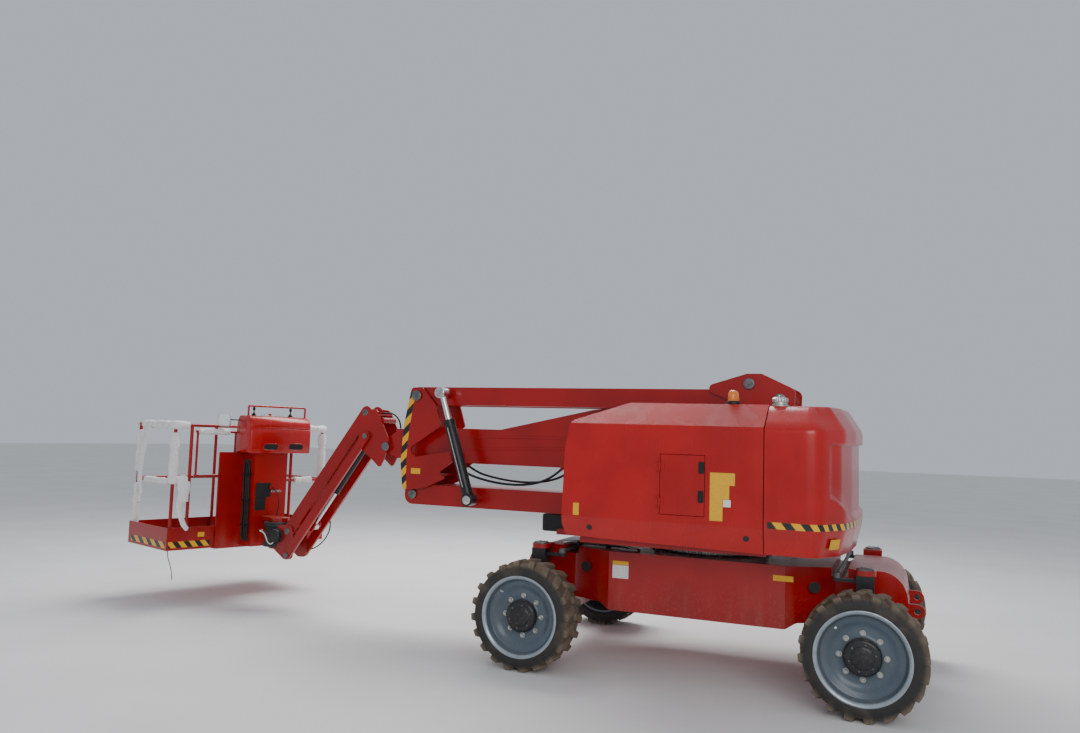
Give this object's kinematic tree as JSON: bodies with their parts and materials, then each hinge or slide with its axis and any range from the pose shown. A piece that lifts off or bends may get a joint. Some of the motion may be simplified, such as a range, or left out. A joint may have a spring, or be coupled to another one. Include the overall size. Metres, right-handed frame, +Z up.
{
  "type": "articulating boom lift",
  "caption": "Articulating boom lift on four steered wheels: slewing turret, two folding arms, telescopic boom, jib and a basket that turns, stowed as parked.",
  "frame": {"origin": "on the ground under the middle of the bounding box", "axes": "+X from the counterweight to the basket, +Y to the left side of the machine, +Z up"},
  "size_m": [7.9842, 2.466, 2.4193],
  "materials": {
    "red_paint": "gloss",
    "rim_paint": "satin",
    "tyre_rubber": "dusty matte",
    "black_paint": "satin",
    "rod_chrome": "polished",
    "cast_block": "painted gloss",
    "engine_grey": "matte",
    "hose_rubber": "satin",
    "lamp_plastic": "satin",
    "amber_plastic": "clear gloss",
    "red_plastic": "moulded gloss"
  },
  "bodies": {
    "chassis": {"chassis_frame": "red_paint", "slew_ring": "black_paint", "axle_front": "red_paint", "axle_rear": "red_paint"},
    "steer_front_left": {"steering_post_front_left": "black_paint"},
    "wheel_front_left": {"rim_front_left": "rim_paint", "tyre_front_left": "tyre_rubber"},
    "steer_front_right": {"steering_post_front_right": "black_paint"},
    "wheel_front_right": {"rim_front_right": "rim_paint", "tyre_front_right": "tyre_rubber"},
    "steer_rear_left": {"steering_post_rear_left": "black_paint"},
    "wheel_rear_left": {"rim_rear_left": "rim_paint", "tyre_rear_left": "tyre_rubber"},
    "steer_rear_right": {"steering_post_rear_right": "black_paint"},
    "wheel_rear_right": {"rim_rear_right": "rim_paint", "tyre_rear_right": "tyre_rubber"},
    "track_rod_front": {"track_rod_front": "black_paint"},
    "track_rod_rear": {"track_rod_rear": "black_paint"},
    "turret": {"turret_frame": "red_paint", "counterweight": "cast_block", "engine_block": "engine_grey", "fluid_tanks": "engine_grey", "tail_dome": "black_paint"},
    "hood_left": {"hood_left": "red_plastic", "beacon": "amber_plastic"},
    "hood_right": {"hood_right": "red_plastic"},
    "control_door": {"control_door": "red_plastic"},
    "lower_arm": {"lower_arm": "red_paint"},
    "upright": {"upright": "red_paint"},
    "upper_arm": {"upper_arm": "red_paint"},
    "boom_head": {"boom_head": "red_paint"},
    "boom": {"boom_outer": "red_paint", "boom_hose_near": "hose_rubber", "boom_hose_far": "hose_rubber"},
    "boom_slide": {"boom_inner": "red_paint"},
    "jib_head": {"jib_head": "red_paint", "nose_hose": "hose_rubber"},
    "jib": {"jib_main": "red_paint"},
    "jib_links": {"jib_links": "red_paint", "jib_hose": "hose_rubber"},
    "basket_support": {"basket_support": "red_paint", "rotary_drive": "black_paint"},
    "basket": {"basket_floor": "red_paint", "basket_rails": "red_paint", "basket_column": "red_paint", "control_console": "red_plastic", "work_lamp": "lamp_plastic", "column_hose": "hose_rubber", "basket_cord": "hose_rubber"},
    "gate": {"basket_gate": "red_paint"},
    "lift_barrel": {"lift_barrel": "black_paint"},
    "lift_rod": {"lift_rod": "rod_chrome"},
    "luff_barrel": {"luff_barrel": "black_paint"},
    "luff_rod": {"luff_rod": "rod_chrome"},
    "jib_barrel": {"jib_barrel": "black_paint"},
    "jib_rod": {"jib_rod": "rod_chrome"}
  },
  "joints": [
    {"name": "steering_front_left", "type": "hinge", "parent": "chassis", "child": "steer_front_left", "pos_m": [-1.02781, 0.80305, 0.42427], "axis": [0, 0, 1], "range_deg": [-28, 28]},
    {"name": "wheel_spin_front_left", "type": "hinge", "parent": "steer_front_left", "child": "wheel_front_left", "pos_m": [-1.02781, 1.07305, 0.42427], "axis": [0, 1, 0], "continuous": true},
    {"name": "steering_front_right", "type": "hinge", "parent": "chassis", "child": "steer_front_right", "pos_m": [-1.02781, -0.63695, 0.42427], "axis": [0, 0, 1], "range_deg": [-28, 28]},
    {"name": "wheel_spin_front_right", "type": "hinge", "parent": "steer_front_right", "child": "wheel_front_right", "pos_m": [-1.02781, -0.90695, 0.42427], "axis": [0, 1, 0], "continuous": true},
    {"name": "steering_rear_left", "type": "hinge", "parent": "chassis", "child": "steer_rear_left", "pos_m": [-3.56781, 0.80305, 0.42427], "axis": [0, 0, 1], "range_deg": [-28, 28]},
    {"name": "wheel_spin_rear_left", "type": "hinge", "parent": "steer_rear_left", "child": "wheel_rear_left", "pos_m": [-3.56781, 1.07305, 0.42427], "axis": [0, 1, 0], "continuous": true},
    {"name": "steering_rear_right", "type": "hinge", "parent": "chassis", "child": "steer_rear_right", "pos_m": [-3.56781, -0.63695, 0.42427], "axis": [0, 0, 1], "range_deg": [-28, 28]},
    {"name": "wheel_spin_rear_right", "type": "hinge", "parent": "steer_rear_right", "child": "wheel_rear_right", "pos_m": [-3.56781, -0.90695, 0.42427], "axis": [0, 1, 0], "continuous": true},
    {"name": "track_rod_slide_front", "type": "slide", "parent": "chassis", "child": "track_rod_front", "axis": [0, 1, 0], "range_m": [-0.0939, 0.0939]},
    {"name": "track_rod_slide_rear", "type": "slide", "parent": "chassis", "child": "track_rod_rear", "axis": [0, 1, 0], "range_m": [-0.0939, 0.0939]},
    {"name": "slew", "type": "hinge", "parent": "chassis", "child": "turret", "pos_m": [-2.29781, 0.08305, 1.02927], "axis": [0, 0, 1], "continuous": true},
    {"name": "hood_left_lift", "type": "hinge", "parent": "turret", "child": "hood_left", "pos_m": [-2.29781, 0.40805, 2.12427], "axis": [1, 0, 0], "range_deg": [0, 60]},
    {"name": "hood_right_lift", "type": "hinge", "parent": "turret", "child": "hood_right", "pos_m": [-2.29781, -0.24195, 2.12427], "axis": [-1, 0, 0], "range_deg": [0, 60]},
    {"name": "control_door_swing", "type": "hinge", "parent": "hood_left", "child": "control_door", "pos_m": [-2.13581, 1.19205, 1.49927], "axis": [0, 0, -1], "range_deg": [0, 110]},
    {"name": "arm_lift", "type": "hinge", "parent": "turret", "child": "lower_arm", "pos_m": [-2.85781, 0.08305, 1.25427], "axis": [0, -1, 0], "range_deg": [0, 60]},
    {"name": "upright_level", "type": "hinge", "parent": "lower_arm", "child": "upright", "pos_m": [0.55919, 0.08305, 1.25427], "axis": [0, -1, 0], "range_deg": [-60, 0]},
    {"name": "upper_arm_lift", "type": "hinge", "parent": "upright", "child": "upper_arm", "pos_m": [0.52219, 0.08305, 2.20427], "axis": [0, -1, 0], "range_deg": [-60, 0]},
    {"name": "head_level", "type": "hinge", "parent": "upper_arm", "child": "boom_head", "pos_m": [-2.89781, 0.08305, 2.20427], "axis": [0, -1, 0], "range_deg": [0, 60]},
    {"name": "boom_luff", "type": "hinge", "parent": "boom_head", "child": "boom", "pos_m": [-2.64781, 0.08305, 2.33427], "axis": [0, -1, 0], "range_deg": [0, 70]},
    {"name": "boom_extend", "type": "slide", "parent": "boom", "child": "boom_slide", "axis": [1, 0, 0], "range_m": [0, 2]},
    {"name": "jib_head_level", "type": "hinge", "parent": "boom_slide", "child": "jib_head", "pos_m": [0.94219, 0.08305, 1.69927], "axis": [0, -1, 0], "range_deg": [-70, 0]},
    {"name": "jib_lift", "type": "hinge", "parent": "jib_head", "child": "jib", "pos_m": [1.20219, 0.08305, 2.03427], "axis": [0, -1, 0], "range_deg": [0, 115]},
    {"name": "jib_link_turn", "type": "hinge", "parent": "jib_head", "child": "jib_links", "pos_m": [1.17119, 0.08305, 1.79627], "axis": [0, -1, 0], "range_deg": [0, 115]},
    {"name": "basket_level", "type": "hinge", "parent": "jib", "child": "basket_support", "pos_m": [2.10712, 0.08305, 0.77955], "axis": [0, -1, 0], "range_deg": [-115, 0]},
    {"name": "basket_turn", "type": "hinge", "parent": "basket_support", "child": "basket", "pos_m": [2.30719, 0.08305, 0.85927], "axis": [0, 0, 1], "range_deg": [-71, 109]},
    {"name": "gate_swing", "type": "hinge", "parent": "basket", "child": "gate", "pos_m": [2.89208, 0.07943, 1.84927], "axis": [0, 0, -1], "range_deg": [0, 90], "stiffness_Nm_per_rad": 6, "springref_deg": -14.32},
    {"name": "lift_barrel_turn", "type": "hinge", "parent": "lower_arm", "child": "lift_barrel", "pos_m": [-0.13281, 0.42805, 1.24527], "axis": [0, -1, 0], "range_deg": [-46.44, 0.02]},
    {"name": "lift_rod_slide", "type": "slide", "parent": "lift_barrel", "child": "lift_rod", "axis": [0.318, 0, 0.9481], "range_m": [-0.0005, 0.81733]},
    {"name": "luff_barrel_turn", "type": "hinge", "parent": "boom_head", "child": "luff_barrel", "pos_m": [-2.85781, 0.08305, 1.46927], "axis": [0, -1, 0], "range_deg": [-0.02, 47.77]},
    {"name": "luff_rod_slide", "type": "slide", "parent": "luff_barrel", "child": "luff_rod", "axis": [0.9994, 0, -0.036], "range_m": [-0.0005, 0.8482]},
    {"name": "jib_barrel_turn", "type": "hinge", "parent": "jib_head", "child": "jib_barrel", "pos_m": [1.22219, 0.08305, 1.74527], "axis": [0, -1, 0], "range_deg": [-0.02, 115.42]},
    {"name": "jib_rod_slide", "type": "slide", "parent": "jib_barrel", "child": "jib_rod", "axis": [0.576, 0, -0.8175], "range_m": [-0.0005, 0.48906]}
  ],
  "couplings": [
    {"joint": "steering_front_right", "follows": "steering_front_left", "ratio": 1},
    {"joint": "track_rod_slide_front", "follows": "steering_front_left", "m_per_rad": -0.19},
    {"joint": "steering_rear_right", "follows": "steering_rear_left", "ratio": 1},
    {"joint": "track_rod_slide_rear", "follows": "steering_rear_left", "m_per_rad": 0.19},
    {"joint": "upright_level", "follows": "arm_lift", "ratio": -1},
    {"joint": "upper_arm_lift", "follows": "arm_lift", "ratio": -1},
    {"joint": "head_level", "follows": "arm_lift", "ratio": 1},
    {"joint": "jib_head_level", "follows": "boom_luff", "ratio": -1},
    {"joint": "jib_link_turn", "follows": "jib_lift", "ratio": 1},
    {"joint": "basket_level", "follows": "jib_lift", "ratio": -1},
    {"joint": "lift_barrel_turn", "follows": "arm_lift", "ratio": -0.77367},
    {"joint": "lift_rod_slide", "follows": "arm_lift", "m_per_rad": 0.78002},
    {"joint": "luff_barrel_turn", "follows": "boom_luff", "ratio": 0.68208},
    {"joint": "luff_rod_slide", "follows": "boom_luff", "m_per_rad": 0.69386},
    {"joint": "jib_barrel_turn", "follows": "jib_lift", "ratio": 1.0034},
    {"joint": "jib_rod_slide", "follows": "jib_lift", "m_per_rad": 0.24341}
  ]
}
